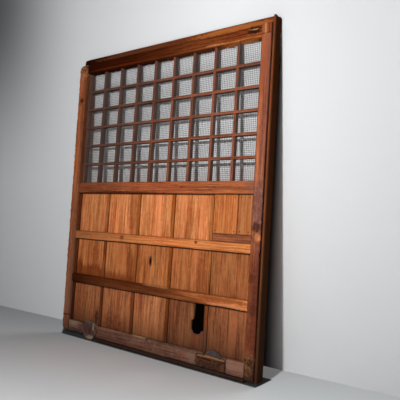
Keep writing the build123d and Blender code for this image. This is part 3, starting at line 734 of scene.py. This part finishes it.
class DOOR_OT_rails(bpy.types.Operator):
    """Carve and finish the head rail with its tongue, and the middle rail"""

    bl_idname = "door.rails"
    bl_label = "Rails"

    def execute(self, context):
        colours = context.scene.door_colours
        look = Timber(
            colours.rail, colours.rail_line, heart=(0.02, 0.08), ring=0.009, foot_dirt=0.0, blotch=0.45,
            shine=0.06,
        )
        lower_edge, upper_edge = near(1150, 1596, 190, 20), near(1000, 1656, 330, 16)
        rail = carve(
            "top_rail", rounded=[(near(0, 1690, 40, 30), 30), (lower_edge, 12)],
            eaten=[(lower_edge, 0.010, 0.04), (upper_edge, 0.012, 0.03)],
        )
        amber = paint(190, 112, 54)
        marks = (
            tone_across(1150, 350, colours.stain, 0.9),
            tone_across(420, 40, paint(26, 5, 0), 0.6),
            patch(330, 1603, 300, 7, paint(110, 42, 12), 0.5, 0.6),
            patch(1245, 1634, 44, 22, colours.grime_and_shade, 0.9, 0.7),
            patch(1236, 1640, 30, 3, colours.bare, 0.9, 0.4),
            patch(1170, 1599, 150, 6, amber, 0.6, 0.5),
            patch(1010, 1603, 60, 5, paint(206, 140, 92), 0.5, 0.5),
            patch(1110, 1676, 280, 16, amber, 0.6, 0.5),
            patch(420, 1676, 330, 16, paint(132, 76, 48), 0.45, 0.5),
            patch(520, 1694, 500, 3, paint(168, 118, 82), 0.6, 0.5),
            streaks("X", 120.0, 0.56, 0.68, colours.stain, 0.8, 0.2),
        )
        dress(rail, "top_rail", "X", look, marks, 0.5)

        look = Timber(
            colours.middle, colours.middle_line, heart=(0.04, 0.07), ring=0.008, foot_dirt=0.0,
            edge_light=0.5,
        )
        rail = carve("middle_rail", chip=0.9)
        marks = (
            tone_across(700, 150, paint(96, 56, 38), 0.45),
            crack_and_shadow_line(930, 1080, 885, 1.4, colours.grime_and_shade),
            crack_and_shadow_line(960, 1040, 872, 1.2, colours.grime_and_shade),
            patch(1000, 876, 46, 2.5, colours.bare, 0.4),
            patch(420, 856, 340, 7, colours.stain, 0.6, 0.6),
            streaks("X", 110.0, 0.57, 0.7, colours.stain, 0.6, 0.7),
            patch(1265, 890, 34, 30, paint(116, 76, 60), 0.45, 0.8),
        )
        dress(rail, "middle_rail", "X", look, marks, 1.1)
        return {"FINISHED"}


class DOOR_OT_battens(bpy.types.Operator):
    """Carve and finish the two battens across the panels"""

    bl_idname = "door.battens"
    bl_label = "Battens"

    def execute(self, context):
        colours = context.scene.door_colours
        look = Timber(colours.batten, colours.batten_line, heart=(0.03, 0.06), ring=0.008, foot_dirt=0.0)
        batten = carve("upper_batten", chip=0.7)
        marks = (
            patch(462, 604, 26, 16, colours.batten_line, 0.5, 0.4),
            knot(462, 604, 12, paint(112, 46, 20)),
            knot(976, 611, 9, paint(78, 30, 12)),
            tone_across(620, 80, paint(150, 94, 60), 0.6),
        )
        dress(batten, "upper_batten", "X", look, marks, 0.2)

        chipped, thinned = near(735, 369, 110, 12), near(1150, 318, 160, 12)
        batten = carve(
            "lower_batten", rounded=[(thinned, 10)],
            eaten=[(chipped, 0.008, 0.015), (thinned, 0.007, 0.05)],
        )
        look.blotch = 0.5
        look.shine = 0.06
        marks = (
            tone_across(1360, 600, paint(64, 16, 2), 0.85),
            tone_across(460, 60, paint(34, 4, 0), 0.75),
            patch(1150, 352, 170, 14, paint(136, 70, 34), 0.8, 0.7),
            patch(1180, 326, 130, 9, paint(212, 144, 100), 0.5, 0.5),
            patch(735, 365, 95, 4, paint(214, 154, 104), 0.8, 0.5, 120.0),
            streaks("X", 100.0, 0.56, 0.7, colours.stain, 0.6, 0.3),
        )
        dress(batten, "lower_batten", "X", look, marks, 0.9)
        return {"FINISHED"}


class DOOR_OT_bottom_rail(bpy.types.Operator):
    """Carve and finish the bottom rail and the cover of the right wheel"""

    bl_idname = "door.bottom_rail"
    bl_label = "Bottom rail"

    def execute(self, context):
        colours = context.scene.door_colours
        look = Timber(
            colours.bottom, colours.bottom_line, heart=(0.04, 0.06), ring=0.009, dry=0.2, foot_height=0.05,
            grime_shade_depth=0.3,
        )
        block, split = near(136, 56, 110, 60), near(310, 56, 60, 60)
        rail = carve(
            "bottom_rail", chip=1.5, heave=1.6,
            rounded=[(block, 70), (near(190, 56, 60, 60), 90), (split, 25)],
            eaten=[(block, 0.010, 0.03), (split, 0.006, 0.02), (near(470, 92, 260, 14), 0.004, 0.04)],
        )
        rose, black = paint(158, 112, 92), paint(20, 10, 6)
        marks = (
            patch(1245, 66, 80, 44, rose, 0.45, 0.4),
            patch(120, 78, 70, 16, paint(150, 120, 98), 0.6, 0.6),
            mottle(130, 56, 110, 50, colours.ash, 0.6, 40.0),
            tone_up(25, 19, paint(44, 32, 26), 0.85),
            patch(1191, 55, 4, 46, black, 0.95, 0.2),
            patch(1021, 55, 3, 46, black, 0.8, 0.2),
            patch(190, 52, 50, 44, paint(72, 48, 44), 0.6, 0.8),
            patch(110, 34, 80, 16, paint(52, 38, 30), 0.6, 0.6),
            patch(400, 90, 190, 5, rose, 0.55, 0.5),
            patch(640, 90, 60, 4, paint(190, 150, 104), 0.8, 0.4),
            knot(700, 84, 7, black),
            mottle(900, 60, 500, 40, colours.ash, 0.35, 26.0),
            streaks("X", 90.0, 0.56, 0.7, colours.grime_and_shade, 0.6, 0.6),
            # painted shadow line where the rail stands proud over the recessed sole
            crack_and_shadow_line(303, 1287, 22, 5.0, black),
        )
        dress(rail, "bottom_rail", "X", look, marks, 0.7)

        look = Timber(
            paint(104, 66, 44), paint(48, 26, 16), heart=(0.03, 0.05), ring=0.010, dry=0.15,
            foot_height=0.05,
        )
        cover = carve("wheel_cover", fine=1.0, chip=1.3, heave=1.4)
        marks = (
            patch(1106, 76, 80, 9, paint(140, 98, 64), 0.85, 0.7),
            patch(1086, 84, 26, 6, paint(170, 96, 40), 0.7, 0.5),
            patch(1100, 40, 90, 14, paint(52, 34, 24), 0.6, 0.8),
            streaks("X", 130.0, 0.54, 0.66, black, 0.8, 0.1),
            patch(1160, 58, 16, 3, black, 0.9, 0.4),
            mottle(1106, 44, 90, 34, black, 0.6, 70.0),
        )
        dress(cover, "wheel_cover", "X", look, marks, 1.9)
        return {"FINISHED"}


class DOOR_OT_panels(bpy.types.Operator):
    """Finish the board panels, each row with its own age"""

    bl_idname = "door.panels"
    bl_label = "Panels"

    def execute(self, context):
        colours = context.scene.door_colours
        rows = {
            "upper": (colours.panel, colours.panel_line, 0.2, 0.0, (0.96, 1.15, 1.08, 1.05, 1.1)),
            "middle": (colours.smoked, colours.smoked_line, 0.3, 0.0, (1.15, 1.08, 1.12, 1.0, 0.76)),
            "lower": (colours.dusty, colours.dusty_line, 0.4, 0.85, (1.15, 1.25, 1.45, 0.75, 0.87)),
        }
        for place, (row, (pale, line, blotch, foot_dirt, tones)) in enumerate(rows.items()):
            for column, tone in enumerate(tones, start=1):
                node = f"{row}_panel_{column}"
                look = Timber(
                    [c * tone for c in pale], [c * tone for c in line], heart=(0.45 + 0.05 * column, 0.05),
                    ring=0.0055, edge_light=0.0, foot_dirt=foot_dirt, foot_height=0.24, cloud=0.5,
                    blotch=blotch, grime_shade_reach=0.011, grime_shade_depth=0.3,
                )
                seed = 0.37 * column + 2.1 * place
                stained = colours.panel_line if row == "upper" else colours.stain
                marks = [
                    streaks("Z", 75.0, 0.58, 0.74, stained, 0.5, 0.15 * column),
                    *self.own_marks(node, colours),
                    # painted shadow under the rail or batten above the row
                    overhang_shadow(ROW_HEADS[row]),
                ]
                finish_wood(node, "Z", look, marks, seed)
        return {"FINISHED"}

    def own_marks(self, node, colours):
        """Stains and repairs that one panel alone shows."""
        rust = paint(110, 42, 8)
        return {
            "upper_panel_2": [patch(520, 760, 30, 150, rust, 0.5, 0.5)],
            "upper_panel_5": [tone_up(700, 650, colours.stain, 0.4)],
            "middle_panel_1": [drips(445, 415, rust, 0.75), patch(240, 500, 26, 90, rust, 0.5, 0.5)],
            "middle_panel_2": [drips(425, 385, rust, 0.7), patch(520, 460, 26, 110, rust, 0.6, 0.5)],
            # the keyhole: a darker halo round it, and painted shade for the hole itself
            "middle_panel_3": [
                patch(672, 489, 15, 32, paint(96, 60, 44), 0.7, 0.5),
                patch(672, 489, 9, 25, paint(30, 14, 8), 0.85, 0.3),
            ],
            "middle_panel_4": [patch(1010, 450, 30, 120, rust, 0.45, 0.6)],
            "lower_panel_1": [patch(284, 136, 14, 52, paint(46, 24, 26), 0.8, 0.9)],
            "lower_panel_2": [mottle(430, 130, 90, 50, rust, 0.6, 40.0)],
            "lower_panel_4": [patch(1030, 170, 30, 14, paint(110, 60, 56), 0.8, 0.6)],
            "lower_panel_5": [patch(1178, 230, 2.2, 110, colours.stain, 0.9, 0.4)],
        }.get(node, [])


class DOOR_OT_muntins(bpy.types.Operator):
    """Finish the muntins between the panels"""

    bl_idname = "door.muntins"
    bl_label = "Muntins"

    def execute(self, context):
        colours = context.scene.door_colours
        plain = paint(178, 100, 44)
        tints = (plain, paint(184, 112, 64), plain, paint(168, 88, 30), paint(196, 116, 58))
        for index, pale in enumerate(tints, start=1):
            node = f"muntin_{index}"
            look = Timber(
                pale, paint(104, 44, 10), heart=(0.03, 0.05), grime_shade_reach=0.003, foot_height=0.3,
                foot_dirt=0.8,
            )
            marks = [tone_up(600, 250, paint(60, 22, 6), 0.6)]
            if index == 1:
                marks.append(tone_up(-10, 0, paint(62, 24, 8), 0.8))
            if index == 5:
                marks.append(tone_up(240, 120, paint(96, 78, 70), 0.4))
            # painted shadows under the rails and battens that stand proud
            marks += [overhang_shadow(head) for head in reversed(ROW_HEADS.values())]
            finish_wood(node, "Z", look, marks, 0.61 * index)
        return {"FINISHED"}


class DOOR_OT_repair(bpy.types.Operator):
    """Finish the repair boards, the filler under them and their nails"""

    bl_idname = "door.repair"
    bl_label = "Repair boards"

    def execute(self, context):
        colours = context.scene.door_colours
        boards = (("wide_repair_board", paint(204, 124, 70)), ("narrow_repair_board", paint(172, 112, 68)))
        for index, (node, pale) in enumerate(boards):
            look = Timber(
                pale, colours.panel_line, heart=(0.04, 0.09), ring=0.008, ring_depth=0.6,
                edge_light=0.4, foot_dirt=0.0,
            )
            board = carve(node, fine=1.4, chip=0.5, heave=0.6, keep=0.3)
            marks = (
                streaks("Z", 100.0, 0.57, 0.68, paint(116, 54, 20), 0.7, 0.3 + index),
                # painted shadow under the rail above the upper row
                overhang_shadow(ROW_HEADS["upper"], 8.0, 0.6),
            )
            dress(board, node, "Z", look, marks, 0.9 + index)
        look = Timber(paint(164, 92, 60), paint(104, 50, 30), heart=(0.03, 0.06), ring=0.008, foot_dirt=0.0)
        finish_wood("repair_filler", "X", look, (), 1.3)
        finish_node("repair_nails", iron("nail iron"))
        return {"FINISHED"}


class DOOR_OT_lattice(bpy.types.Operator):
    """Finish the lattice's uprights and crossbars"""

    bl_idname = "door.lattice"
    bl_label = "Lattice"

    def execute(self, context):
        colours = context.scene.door_colours
        soot = paint(72, 60, 56)
        bars = [(f"lattice_upright_{i}", "Z") for i in range(1, 11)]
        bars += [(f"lattice_crossbar_{i}", "X") for i in range(1, 6)]
        for index, (node, grain) in enumerate(bars):
            look = Timber(
                colours.lattice, colours.lattice_line, heart=(0.02, 0.05), ring=0.005, edge_light=0.25,
                grime_shade_depth=0.0, foot_dirt=0.0, blotch=0.5,
            )
            marks = (
                tone_deep(31, 38, soot, 0.7),
                tone_across(850, 150, soot, 0.65),
                tone_up(1250, 1600, soot, 0.3),
            )
            finish_wood(node, grain, look, marks, 0.23 * index)
        return {"FINISHED"}


def iron(name):
    """Forged iron with a rusty bloom."""
    colours = bpy.context.scene.door_colours
    graph = Graph(name)
    bloom = graph.noise(graph.place, 300.0, 4.0, 0.6)
    surface = graph.blend(bloom.rise(0.4, 0.7), colours.iron, paint(96, 58, 36))
    normal = graph.bump(bloom, 0.4, 0.0004)
    return graph.finish(surface, bloom * 0.4 + 0.4, normal, bloom.fall(0.4, 0.7) * 0.7)


def zinc(name):
    """Dull zinc that has gone grey and dusty."""
    colours = bpy.context.scene.door_colours
    graph = Graph(name)
    bloom = graph.noise(graph.place, 60.0, 4.0, 0.6)
    surface = graph.blend(bloom.rise(0.35, 0.7), colours.wire, paint(72, 58, 48))
    return graph.finish(surface, bloom * 0.3 + 0.45, None, 0.3)


class DOOR_OT_netting(bpy.types.Operator):
    """Weave the wire netting and finish its staples"""

    bl_idname = "door.netting"
    bl_label = "Wire netting"

    def execute(self, context):
        netting = context.scene.door_netting
        low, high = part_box("wire_netting")
        size = high - low
        columns, rows = (2 * round(side / netting.pitch / 2) for side in (size.x, size.z))
        step_x, step_z = size.x / columns, size.z / rows
        metal = zinc("zinc")
        finish_node("netting_staples", metal)
        bend = netting.wire * netting.sway
        upright = self.wires("woven_upright_wires", netting.wire, bend, step_z, rows, step_x, columns)
        level = self.wires("woven_level_wires", netting.wire, -bend, step_x, columns, step_z, rows)
        level.data.transform(Matrix.Rotation(math.pi / 2, 4, "Y"))
        depth = (low.y + high.y) / 2
        upright.data.transform(Matrix.Translation((low.x, depth, low.z)))
        level.data.transform(Matrix.Translation((low.x, depth, high.z)))
        for piece in (upright, level):
            piece.data.materials.append(metal)
            only(piece)
            bpy.ops.object.shade_smooth()
            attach(piece, "leaf")
        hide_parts("wire_netting")
        return {"FINISHED"}

    def wires(self, name, wire, bend, step, bends, spacing, last):
        """Wires side by side that bend over and under the ones they cross, by turns."""
        even = self.zigzag(name, wire, bend, step, bends, 0.0)
        self.repeat(even, (2 * spacing, 0.0, 0.0), last // 2 + 1)
        odd = self.zigzag(name + " between", wire, -bend, step, bends, spacing)
        self.repeat(odd, (2 * spacing, 0.0, 0.0), last // 2)
        only(even)
        odd.select_set(True)
        bpy.ops.object.join()
        return even

    def zigzag(self, name, wire, bend, step, bends, across):
        """One wire along Z that swings from side to side."""
        bpy.ops.object.select_all(action="DESELECT")
        bpy.ops.mesh.primitive_circle_add(vertices=6, radius=wire / 2, location=(0.0, 0.0, 0.0))
        piece = bpy.context.active_object
        piece.name = name
        piece.data.name = name
        bpy.ops.object.mode_set(mode="EDIT")
        bpy.ops.mesh.select_all(action="SELECT")
        bpy.ops.transform.translate(value=(across, bend, 0.0))
        for swing in (-2 * bend, 2 * bend):
            bpy.ops.mesh.extrude_edges_move(TRANSFORM_OT_translate={"value": (0.0, swing, step)})
        bpy.ops.object.mode_set(mode="OBJECT")
        self.repeat(piece, (0.0, 0.0, 2 * step), bends // 2, merge=True)
        return piece

    def repeat(self, piece, offset, count, merge=False):
        apply(
            piece, "ARRAY", use_relative_offset=False, use_constant_offset=True,
            constant_offset_displace=offset, count=count, use_merge_vertices=merge, merge_threshold=0.0001,
        )


class DOOR_OT_wheels(bpy.types.Operator):
    """Carve and finish the wheels and finish their axles"""

    bl_idname = "door.wheels"
    bl_label = "Wheels"

    def execute(self, context):
        colours, skin = context.scene.door_colours, context.scene.door_wear.fine_skin
        for index, side in enumerate(("left", "right")):
            node = f"{side}_wheel"
            wheel = copy_of(node, f"worn_{node}")
            apply(wheel, "REMESH", mode="VOXEL", voxel_size=skin, adaptivity=0.0)
            displace(wheel, "wheel", WHEEL_DENT_SIZE, WHEEL_DENT, 3)
            only(wheel)
            bpy.ops.object.shade_smooth()
            look = Timber(
                colours.wheel, paint(52, 36, 34), heart=(0.0, 0.3), ring=0.004, grime_shade_depth=0.0, dry=0.2,
                foot_dirt=0.0, edge_light=0.0, blotch=0.5,
            )
            dress(wheel, node, "Z", look, self.marks(side), 0.4 + index)
            finish_node(f"{side}_axle", iron(f"{side} axle iron"))
        return {"FINISHED"}

    def marks(self, side):
        """The left wheel is dark about its hub, paler at the right and bottom of its rim and greyish at its
        top; the right wheel turns grey towards its top.
        """
        if side == "right":
            return (tone_up(60, 100, paint(70, 66, 72), 0.7),)
        hub = 248
        return (
            patch(hub - 12, 56, 46, 40, paint(74, 46, 42), 0.75, 0.9),
            patch(hub + 32, 80, 11, 26, paint(146, 118, 98), 0.75, 0.7),
            patch(hub + 12, 16, 32, 12, paint(150, 126, 100), 0.75, 0.7),
            patch(hub - 4, 104, 40, 9, paint(96, 88, 76), 0.7, 0.5),
        )


class DOOR_OT_drop_bolt(bpy.types.Operator):
    """Finish the drop bolt and its keepers"""

    bl_idname = "door.drop_bolt"
    bl_label = "Drop bolt"

    def execute(self, context):
        colours = context.scene.door_colours
        look = Timber(colours.bolt, paint(66, 36, 22), heart=(0.02, 0.05), ring=0.005, grime_shade_depth=0.3)
        finish_wood("drop_bolt", "Z", look, (), 0.7)
        for index, node in enumerate(("upper_bolt_keeper", "lower_bolt_keeper")):
            finish_wood(node, "X", look, (), 1.2 + index)
        return {"FINISHED"}


# The studio. The lens and the camera's place and turn give the photograph's perspective.
LENS, SENSOR = 42.3, 36.0
CAMERA_PLACE = (1.6755, -1.9019, 0.6771)
CAMERA_RIGHT = (0.80903, 0.58449, 0.06193)
CAMERA_UP = (-0.01397, -0.08622, 0.99618)
CAMERA_BACK = (0.58761, -0.8068, -0.0616)
# The wall is this far behind the leaf's head, and recedes by this share of the way across.
HEAD_GAP, WALL_SLANT = 0.004, 0.0552
WALL_HALF_WIDTH, WALL_HALF_HEIGHT = 6.0, 2.2
FLOOR_SIDE = 16.0
BLACK = (0.0, 0.0, 0.0)


def gap_behind(up, across, gap_at_foot):
    """How far the wall is behind the leaf's back. It leans towards the leaf's head and slants a little."""
    foot = gap_at_foot + WALL_SLANT * across
    return HEAD_GAP + (foot - HEAD_GAP) * (1.0 - up * (1.0 / LEAF_HIGH.z))


def wall_material(studio):
    """Plain wall that is seen from its front only and takes no part in the light elsewhere."""
    graph = Graph("wall")
    tint = studio.wall
    # dusk at the upper left, and less light towards the right
    dusk = graph.x.fall(-1.8, -0.7) * graph.z.rise(0.8, 2.3)
    surface = graph.blend(dusk, tint, [c * 0.25 for c in tint])
    surface = graph.blend(graph.x.rise(0.2, 1.3), surface, [c * 0.74 for c in tint])
    # shade in the gap behind the boards, where no light comes through the lattice
    depth = (LEAF_HIGH.x - graph.x) / gap_behind(graph.z, graph.x, studio.gap_at_foot).most(0.01)
    open_lattice = graph.z.rise(0.85, 0.92) * depth.rise(0.62, 0.8)
    hidden = depth.rise(0.06, 0.55) * (1.0 - open_lattice) * graph.x.rise(LEAF_LOW.x, LEAF_LOW.x + 0.1)
    hidden = hidden * graph.z.fall(1.5, 1.64)
    surface = graph.blend(hidden * studio.shade, surface, BLACK)
    seen = graph.node("ShaderNodeLightPath", output="Is Camera Ray")
    behind = graph.node("ShaderNodeNewGeometry", output="Backfacing")
    plain = graph.node("ShaderNodeBsdfDiffuse", {}, {"Color": surface})
    clear = graph.node("ShaderNodeBsdfTransparent")
    shown = graph.node("ShaderNodeMixShader", {}, [seen * (1.0 - behind), clear, plain])
    graph.add("ShaderNodeOutputMaterial", {}, {"Surface": shown})
    return graph.material


def floor_material(studio):
    """Plain floor with painted light towards the right and a painted contact shade close under the leaf."""
    graph = Graph("floor")
    tint = studio.floor
    drift = graph.noise(graph.place, 3.0, 5.0, 0.6)
    surface = graph.blend(drift.rise(0.3, 0.8) * 0.12, tint, [c * 0.8 for c in tint])
    # painted light: brighter towards the right
    surface = graph.blend(graph.x.rise(0.1, 1.1), surface, [c * 1.35 for c in tint])
    # painted contact shade close under the leaf, its edge slanting at the left foot
    slanted = graph.x + (graph.y - FRONT) * 1.1
    left, right = LEAF_LOW.x, LEAF_HIGH.x
    under = slanted.rise(left + 0.012, left + 0.03) * graph.x.fall(right - 0.01, right)
    under = under * band(graph.y, FRONT - 0.001, BACK + 0.1, 0.007)
    surface = graph.blend(under * studio.shade * 0.96, surface, BLACK)
    return graph.finish(surface, 0.8, shine=0.2)


def plane(name, side):
    """A square round the origin."""
    bpy.ops.object.select_all(action="DESELECT")
    bpy.ops.mesh.primitive_plane_add(size=side, location=(0.0, 0.0, 0.0))
    made = bpy.context.active_object
    made.name = name
    return made


def lamp(name, kind, place, power, **settings):
    """A lamp that looks at the middle of the leaf."""
    light = set_all(bpy.data.lights.new(name, kind), {"energy": power, **settings})
    holder = bpy.data.objects.new(name, light)
    bpy.context.scene.collection.objects.link(holder)
    holder.location = place
    target = (LEAF_LOW + LEAF_HIGH) / 2
    holder.rotation_euler = (target - Vector(place)).to_track_quat("-Z", "Y").to_euler()


class DOOR_OT_stage(bpy.types.Operator):
    """Set the floor, the wall, the lamps and the camera"""

    bl_idname = "door.stage"
    bl_label = "Studio"

    def execute(self, context):
        studio = context.scene.door_studio
        floor = plane("floor", FLOOR_SIDE)
        floor.data.materials.append(floor_material(studio))
        self.wall(studio)
        self.lamps(context)
        self.camera(context)
        return {"FINISHED"}

    def wall(self, studio):
        """The wall that the leaf's head leans on, so it stands further behind the foot than the head."""
        wall = plane("wall", 2.0)
        bpy.ops.object.mode_set(mode="EDIT")
        bpy.ops.mesh.subdivide(number_cuts=24)
        bpy.ops.object.mode_set(mode="OBJECT")
        for vertex in wall.data.vertices:
            x, up = vertex.co.x * WALL_HALF_WIDTH, (vertex.co.y + 1.0) * WALL_HALF_HEIGHT
            vertex.co = (x, BACK + gap_behind(up, x, studio.gap_at_foot), up)
        wall.data.materials.append(wall_material(studio))

    def lamps(self, context):
        """A small bright key beside the camera, a broad fill in front and a soft lamp for the back."""
        lamp("key lamp", "POINT", (0.93, -2.05, 1.2), 150.0, shadow_soft_size=0.06)
        lamp("fill lamp", "AREA", (0.4, -3.6, 2.0), 10.0, size=1.6)
        lamp("back lamp", "AREA", (1.5, 4.0, 3.0), 60.0, size=2.5)
        world = bpy.data.worlds.new("studio")
        world.use_nodes = True
        background = world.node_tree.nodes["Background"].inputs
        background["Color"].default_value = (1.0, 1.0, 1.0, 1.0)
        background["Strength"].default_value = 0.02
        context.scene.world = world

    def camera(self, context):
        settings = {"lens": LENS, "sensor_width": SENSOR, "sensor_fit": "HORIZONTAL"}
        camera = set_all(bpy.data.cameras.new("camera"), settings)
        holder = bpy.data.objects.new("camera", camera)
        context.scene.collection.objects.link(holder)
        turn = Matrix((CAMERA_RIGHT, CAMERA_UP, CAMERA_BACK)).transposed().to_4x4()
        holder.matrix_world = Matrix.Translation(CAMERA_PLACE) @ turn
        context.scene.camera = holder
        context.scene.view_settings.view_transform = "Standard"


class DOOR_PT_leaf(bpy.types.Panel):
    """Buttons for each group of pieces and the values behind them"""

    bl_idname = "DOOR_PT_leaf"
    bl_label = "Storehouse door leaf"
    bl_space_type = "VIEW_3D"
    bl_region_type = "UI"
    bl_category = "Door"

    def draw(self, context):
        column = self.layout.column()
        for step in STEPS:
            column.operator(step.bl_idname)
        for name, group in GROUPS.items():
            values = getattr(context.scene, name)
            for key in group.__annotations__:
                column.prop(values, key)


GROUPS = {
    "door_colours": DoorColours,
    "door_wear": DoorWear,
    "door_netting": DoorNetting,
    "door_studio": DoorStudio,
}
STEPS = (
    DOOR_OT_stiles,
    DOOR_OT_rails,
    DOOR_OT_battens,
    DOOR_OT_bottom_rail,
    DOOR_OT_panels,
    DOOR_OT_muntins,
    DOOR_OT_repair,
    DOOR_OT_lattice,
    DOOR_OT_netting,
    DOOR_OT_wheels,
    DOOR_OT_drop_bolt,
    DOOR_OT_stage,
)


def register():
    for group in (*GROUPS.values(), *STEPS, DOOR_PT_leaf):
        bpy.utils.register_class(group)
    for name, group in GROUPS.items():
        setattr(bpy.types.Scene, name, bpy.props.PointerProperty(type=group))


def unregister():
    for name in GROUPS:
        delattr(bpy.types.Scene, name)
    for group in (DOOR_PT_leaf, *reversed(STEPS), *reversed(list(GROUPS.values()))):
        bpy.utils.unregister_class(group)


def main():
    register()
    for step in STEPS:
        family, name = step.bl_idname.split(".")
        getattr(getattr(bpy.ops, family), name)()


if __name__ == "__main__":
    main()
